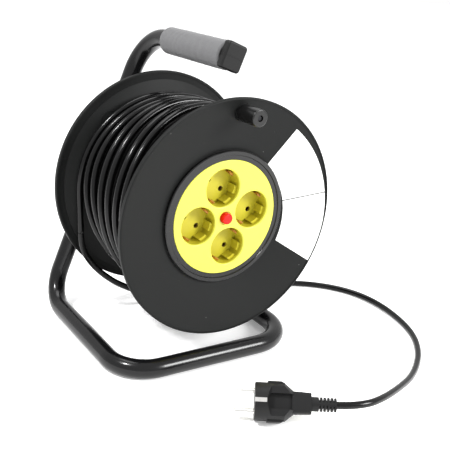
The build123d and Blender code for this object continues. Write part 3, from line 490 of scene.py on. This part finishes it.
def moulded_plastic(
    name, colour, roughness, grain=1400.0, grain_height=0.16, dust=0.16, shine=0.13
):
    """Injection-moulded plastic: fine eroded grain, soft blotches of gloss, sparse dust."""
    made = Finish(name, colour, roughness, Specular_IOR_Level=shine)
    cloud = made.noise(16.0, detail=4.0)
    fine = made.noise(grain, detail=2.0, roughness=0.6)
    specks = made.specks(120.0, size=0.055, share=0.3)
    lint = made.specks(310.0, size=0.06, share=0.12)
    spots = made.sum(specks, lint, "MAXIMUM")
    body = made.blend(cloud, tint(colour, 0.86), tint(colour, 1.18))
    made.colour(made.blend(made.sum(spots, dust, "MULTIPLY"), body, (0.75, 0.75, 0.72)))
    made.rough(made.ramp(cloud, roughness - 0.06, roughness + 0.07))
    made.relief(fine, strength=grain_height, distance=0.00010)
    return made.material


def clear_plastic(name, colour, roughness, **sockets):
    """Bright, smooth plastic: a faint mottle in its colour and a soft sink here and there."""
    made = Finish(name, colour, roughness, **sockets)
    cloud = made.noise(40.0, detail=3.0)
    fine = made.noise(900.0, detail=2.0)
    made.colour(made.blend(cloud, tint(colour, 0.955), tint(colour, 1.02)))
    made.rough(made.ramp(cloud, roughness - 0.04, roughness + 0.06))
    made.relief(fine, strength=0.05, distance=0.00008)
    return made.material


def sheath(name, colour):
    """Smooth cord sheath: slightly lumpy over the twisted wires, with gloss that varies."""
    made = Finish(name, colour, 0.20, Specular_IOR_Level=0.24)
    lumps = made.noise(75.0, detail=2.0)
    fine = made.noise(1100.0, detail=2.0)
    dust = made.sum(made.specks(260.0, size=0.05, share=0.18), 0.25, "MULTIPLY")
    skin = made.blend(lumps, tint(colour, 0.8), tint(colour, 1.3))
    made.colour(made.blend(dust, skin, (0.5, 0.5, 0.48)))
    made.rough(made.ramp(lumps, 0.13, 0.27))
    height = made.sum(lumps, made.sum(fine, 0.12, "MULTIPLY"))
    made.relief(height, strength=0.22, distance=0.0006)
    return made.material


def shaded_dull_sheath(name, colour):
    """Cord sheath deep in the winding: a darker copy of the sheath as painted shade between the
    strands, with little gloss.
    """
    made = Finish(name, colour, 0.55, Specular_IOR_Level=0.12)
    cloud = made.noise(60.0, detail=3.0)
    fine = made.noise(900.0, detail=2.0)
    # Painted shade: the colour runs from half the sheath colour up to the full colour, darker
    # than the outer layer
    made.colour(made.blend(cloud, tint(colour, 0.5), tint(colour, 1.0)))
    made.rough(made.ramp(cloud, 0.45, 0.65))
    made.relief(fine, strength=0.15, distance=0.0001)
    return made.material


def foam(name, colour):
    """Closed-cell foam: dense small pores under a dull skin, worn paler in places."""
    made = Finish(name, colour, 0.86, Sheen_Weight=0.12, Sheen_Roughness=0.5)
    cloud = made.noise(34.0, detail=4.0)
    pores = made.node("ShaderNodeTexVoronoi", Vector=made.place, Scale=1100.0).outputs["Distance"]
    fine = made.noise(500.0, detail=4.0, roughness=0.7)
    mottle = made.blend(cloud, tint(colour, 0.88), tint(colour, 1.12))
    made.colour(made.blend(made.ramp(fine, 0.0, 1.0, 0.35, 0.65), tint(colour, 0.84), mottle))
    made.relief(made.sum(pores, fine), strength=0.35, distance=0.00025)
    return made.material


def metal(name, colour, roughness):
    """Bare or plated metal: fine scratches along Y and a cloudy tarnish."""
    made = Finish(name, colour, roughness, Metallic=1.0)
    cloud = made.noise(240.0, detail=3.0)
    along_y = made.stretch((1.0, 0.12, 1.0))
    scratch = made.noise(1500.0, detail=3.0, roughness=0.7, place=along_y)
    made.colour(made.blend(cloud, tint(colour, 0.80), tint(colour, 1.1)))
    made.rough(made.ramp(cloud, roughness * 0.7, roughness * 1.4))
    made.relief(scratch, strength=0.10, distance=0.00006)
    return made.material


def paint(node, material):
    """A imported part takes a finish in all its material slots."""
    for holder in frame["nodes"][node].material_slots:
        holder.material = material


def give(thing, material, slot, body, *nodes):
    """A new piece takes its finish and its body, and the parts it stands for are hidden; the slot
    argument is not used.
    """
    thing.data.materials.append(material)
    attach(thing, body)
    if nodes:
        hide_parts(*nodes)
    return thing


# ---- Operators ----


class CORDREEL_OT_stage(bpy.types.Operator):
    """Floor, lights and camera"""

    bl_idname = "cordreel.stage"
    bl_label = "Stage"

    def execute(self, context):
        stage = values("stage")
        reach = 8.0
        corners = [(-reach, -reach, 0), (reach, -reach, 0), (reach, reach, 0), (-reach, reach, 0)]
        floor = put("floor", corners, [(0, 1, 2, 3)])
        paper = clear_plastic(
            "floor_paper", stage.floor, 0.85, Emission_Color=(1, 1, 1, 1), Emission_Strength=0.22
        )
        floor.data.materials.append(paper)
        # name, place, the point it aims at, width in metres, power in watts
        lights = (
            ("key", (0.82, -1.32, 0.86), (0.0, 0.0, 0.15), 0.60, 31.0),
            ("crisp", (-1.0, -0.15, 1.45), (0.0, 0.0, 0.15), 0.20, 24.0),
            ("top", (0.1, 0.5, 2.0), (0.0, 0.0, 0.1), 1.2, 16.0),
        )
        for name, place, target, size, power in lights:
            lamp = bpy.data.lights.new(name, "AREA")
            lamp.shape = "DISK"
            lamp.size = size
            lamp.energy = power
            holder = bpy.data.objects.new(name, lamp)
            context.scene.collection.objects.link(holder)
            holder.location = place
            aim = Vector(target) - Vector(place)
            holder.rotation_euler = aim.to_track_quat("-Z", "Y").to_euler()
        world = bpy.data.worlds.new("studio")
        world.use_nodes = True
        background = world.node_tree.nodes["Background"]
        background.inputs["Color"].default_value = (1, 1, 1, 1)
        background.inputs["Strength"].default_value = 1.0
        context.scene.world = world
        context.scene.view_settings.view_transform = "Standard"
        back = Vector(
            (
                math.sin(stage.heading) * math.cos(stage.height),
                -math.cos(stage.heading) * math.cos(stage.height),
                math.sin(stage.height),
            )
        )
        right = Vector((math.cos(stage.heading), math.sin(stage.heading), 0))
        up = back.cross(right)
        # The camera looks along -back, and its roll turns right and up about that line
        right_rolled = right * math.cos(stage.roll) + up * math.sin(stage.roll)
        up_rolled = up * math.cos(stage.roll) - right * math.sin(stage.roll)
        lens = bpy.data.cameras.new("camera")
        lens.lens = stage.lens
        lens.shift_x, lens.shift_y = stage.shift
        lens.clip_start = 0.01
        camera = bpy.data.objects.new("camera", lens)
        context.scene.collection.objects.link(camera)
        pose = Matrix((right_rolled, up_rolled, back)).transposed().to_4x4()
        camera.matrix_world = Matrix.Translation(stage.eye) @ pose
        context.scene.camera = camera
        return {"FINISHED"}


class CORDREEL_OT_free_cord(bpy.types.Operator):
    """The cord's free end, from the drum round to its plug"""

    bl_idname = "cordreel.free_cord"
    bl_label = "Free cord"

    def execute(self, context):
        cord = values("cord")
        first_run = 0.018
        # Height of the centre line of a cord that lies on the floor, in mm from the axis
        lying = 3.7 - AXIS_Z * 1000
        # Control points from the drum to the plug's sleeve, in mm as spot() takes them
        route = [
            (-84.5, 151.8, -92.5),
            (-66, 151, -111.5),
            (-42, 150, -128),
            (-14, 149, -140),
            (20, 148.5, -145),
            (56, 147.5, -138),
            (92, 145.5, -126),
            (130, 140, -139),
            (168, 133, lying),
            (207, 117.5, lying),
            (238, 92, lying),
            (256, 61, lying),
            (260.5, 24, lying),
            (253, -18, lying),
            (238, -56, lying),
            (213, -88, lying),
            (184, -112, -151.3),
            (154, -131, -148.2),
            (124.5, -145, -143),
            (97.5, -156.5, -138),
            (76, -164, -134.2),
            (57, -167.5, -132),
            (36.54, -161.74, -132.16),
            (27.5, -155.5, -132.7),
        ]
        wound = wound_line(cord)[0]
        leaving = (wound[-1] - wound[-2]) / np.linalg.norm(wound[-1] - wound[-2])
        places = [wound[-1], wound[-1] + first_run * leaving] + [spot(*place) for place in route]
        curve = bpy.data.curves.new("free_cord", "CURVE")
        curve.dimensions = "3D"
        line = curve.splines.new("NURBS")
        line.points.add(len(places) - 1)
        for point, place in zip(line.points, places):
            point.co = (*place, 1)
        line.order_u = 3
        line.use_endpoint_u = True
        line.resolution_u = 10
        curve.bevel_depth = cord.diameter / 2
        curve.bevel_resolution = 5
        curve.use_fill_caps = True
        thing = bpy.data.objects.new("free_cord", curve)
        context.scene.collection.objects.link(thing)
        thing.data.materials.append(sheath("free_cord_sheath", cord.colour))
        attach(thing, "stand")
        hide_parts("cord_lead")
        return {"FINISHED"}


class CORDREEL_OT_wound_cord(bpy.types.Operator):
    """The cord on the drum, in two layers"""

    bl_idname = "cordreel.wound_cord"
    bl_label = "Wound cord"

    def execute(self, context):
        cord = values("cord")
        line, outward = wound_line(cord)
        split = int(cord.inner_turns * cord.steps)
        gloss = sheath("wound_cord_sheath", cord.colour)
        # The inner layer takes the darker copy of the sheath: painted shade deep in the winding
        dull = shaded_dull_sheath("inner_layer_sheath", cord.colour)
        layers = (
            ("wound_cord", slice(split, None), gloss, "winding_outer"),
            ("wound_cord_inner", slice(0, split + 2), dull, "winding_core"),
        )
        for name, part, material, node in layers:
            points, faces = tube(line[part], cord.diameter / 2, cord.sides, outward[part])
            give(put(name, points, faces), material, node, "drum", node)
        return {"FINISHED"}


class CORDREEL_OT_grip(bpy.types.Operator):
    """The foam sleeve on the handle bar"""

    bl_idname = "cordreel.grip"
    bl_label = "Foam grip"

    def execute(self, context):
        grip = values("grip")
        room_for_wrinkles = 0.0003
        outer = (GRIP_HIGH.x - GRIP_LOW.x) / 2 - room_for_wrinkles
        inner = 0.0100
        length = GRIP_HIGH.y - GRIP_LOW.y
        centre = ((GRIP_LOW.x + GRIP_HIGH.x) / 2, GRIP_LOW.y, (GRIP_LOW.z + GRIP_HIGH.z) / 2)
        lip, lip_steps = grip.lip, 7
        steps_along, steps_round = 120, 96
        profile = [(inner, 0.0)]
        profile += arc((outer - lip, lip), lip, -90, 0, lip_steps)
        profile += [(outer, y) for y in np.linspace(lip, length - lip, steps_along)[1:-1]]
        profile += arc((outer - lip, length - lip), lip, 0, 90, lip_steps)
        profile += [(inner, length)]
        rows = np.asarray(profile)
        angle = np.linspace(0, 2 * np.pi, steps_round, endpoint=False)
        s = (rows[:, 1:] / length) * 6.0
        weight = np.clip((rows[:, :1] - inner) / (outer - inner), 0, 1) ** 2
        ripple = grip.wrinkle * weight * soft_ripple(s, angle[None, :])
        points, faces = lathe(rows, steps_round, centre, ripple)
        thing = put("foam_grip", points, faces)
        give(thing, foam("grip_foam", grip.colour), "handle_grip", "stand", "handle_grip")
        return {"FINISHED"}


class CORDREEL_OT_finishes(bpy.types.Operator):
    """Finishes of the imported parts"""

    bl_idname = "cordreel.finishes"
    bl_label = "Finishes"

    def execute(self, context):
        drum, stand = values("drum"), values("stand")
        tube_paint = gloss_paint("tube_paint", stand.paint)
        drum_black = moulded_plastic("drum_black", drum.moulded, 0.52)
        collar_black = moulded_plastic(
            "collar_black",
            drum.collar,
            0.27,
            grain=700.0,
            grain_height=0.05,
            dust=0.10,
            shine=0.38,
        )
        fitting_black = moulded_plastic("fitting_black", (0.006, 0.006, 0.006), 0.40, shine=0.20)
        plug_black = moulded_plastic("plug_black", (0.0060, 0.0060, 0.0062), 0.44, shine=0.20)
        yellow = clear_plastic("plate_yellow", drum.plate, 0.34)
        # The wells take the darker yellow as painted shade inside them
        shaded_wells_yellow = clear_plastic("cup_yellow", drum.cups, 0.40, Specular_IOR_Level=0.3)
        red = clear_plastic("button_red", drum.button, 0.22, Specular_IOR_Level=0.2)
        white = clear_plastic("label_film", drum.label, 0.42)
        bush_white = clear_plastic("bush_white", (0.75, 0.75, 0.72), 0.45)
        zinc = metal("zinc_plate", (0.60, 0.60, 0.62), 0.30)
        dull_steel = metal("dull_steel", (0.028, 0.028, 0.03), 0.50)
        copper = metal("spring_copper", (0.72, 0.36, 0.18), 0.32)
        brass = metal("contact_brass", (0.74, 0.55, 0.28), 0.30)
        nickel = metal("pin_nickel", (0.80, 0.79, 0.77), 0.22)
        inner_sheath = sheath("inner_sheath", values("cord").colour)
        coats = {
            tube_paint: ("frame_tube", "strut_tube"),
            drum_black: ("front_flange", "rear_flange", "drum_barrel"),
            collar_black: ("socket_housing", "crank_knob"),
            fitting_black: ("grip_end_cap", "spacer_sleeve", "thermal_cutout", "cord_clamp"),
            plug_black: ("plug_body", "plug_strain_relief"),
            yellow: ("face_plate",),
            shaded_wells_yellow: ("socket_cups",),
            red: ("reset_button",),
            white: ("rating_label",),
            bush_white: ("hub_bushes",),
            zinc: (
                "axle_bolt",
                "saddle_washer",
                "thrust_washer",
                "axle_washer",
                "axle_nut",
                "housing_screws",
                "drum_screws",
                "clamp_screws",
            ),
            dull_steel: ("knob_pin",),
            copper: ("earth_springs",),
            brass: ("earth_bus", "contact_sleeves", "live_bus", "neutral_bus"),
            nickel: ("plug_pins", "plug_earth_strips"),
            inner_sheath: ("cord_inner_end",),
        }
        for material, nodes in coats.items():
            for node in nodes:
                paint(node, material)
        return {"FINISHED"}


OPERATORS = (
    CORDREEL_OT_stage,
    CORDREEL_OT_free_cord,
    CORDREEL_OT_wound_cord,
    CORDREEL_OT_grip,
    CORDREEL_OT_finishes,
)


class CORDREEL_PT_panel(bpy.types.Panel):
    """The reel's pieces, sizes and colours"""

    bl_label = "Cord Reel"
    bl_idname = "CORDREEL_PT_panel"
    bl_space_type = "VIEW_3D"
    bl_region_type = "UI"
    bl_category = "Cord Reel"

    def draw(self, context):
        for operator in OPERATORS:
            self.layout.operator(operator.bl_idname)
        for name in GROUP_NAMES:
            box = self.layout.box()
            box.label(text=name.capitalize())
            group = values(name)
            for key in group.bl_rna.properties.keys():
                if key not in ("rna_type", "name"):
                    box.prop(group, key)


def register():
    for group, name in zip(GROUPS, GROUP_NAMES):
        bpy.utils.register_class(group)
        setattr(bpy.types.Scene, "cord_reel_" + name, PointerProperty(type=group))
    for kind in OPERATORS + (CORDREEL_PT_panel,):
        bpy.utils.register_class(kind)


def unregister():
    for kind in (CORDREEL_PT_panel,) + OPERATORS[::-1]:
        bpy.utils.unregister_class(kind)
    for group, name in zip(GROUPS[::-1], GROUP_NAMES[::-1]):
        delattr(bpy.types.Scene, "cord_reel_" + name)
        bpy.utils.unregister_class(group)


def main():
    """Build every piece."""
    register()
    for operator in OPERATORS:
        group, name = operator.bl_idname.split(".")
        getattr(getattr(bpy.ops, group), name)()
    bpy.context.view_layer.update()


if __name__ == "__main__":
    main()
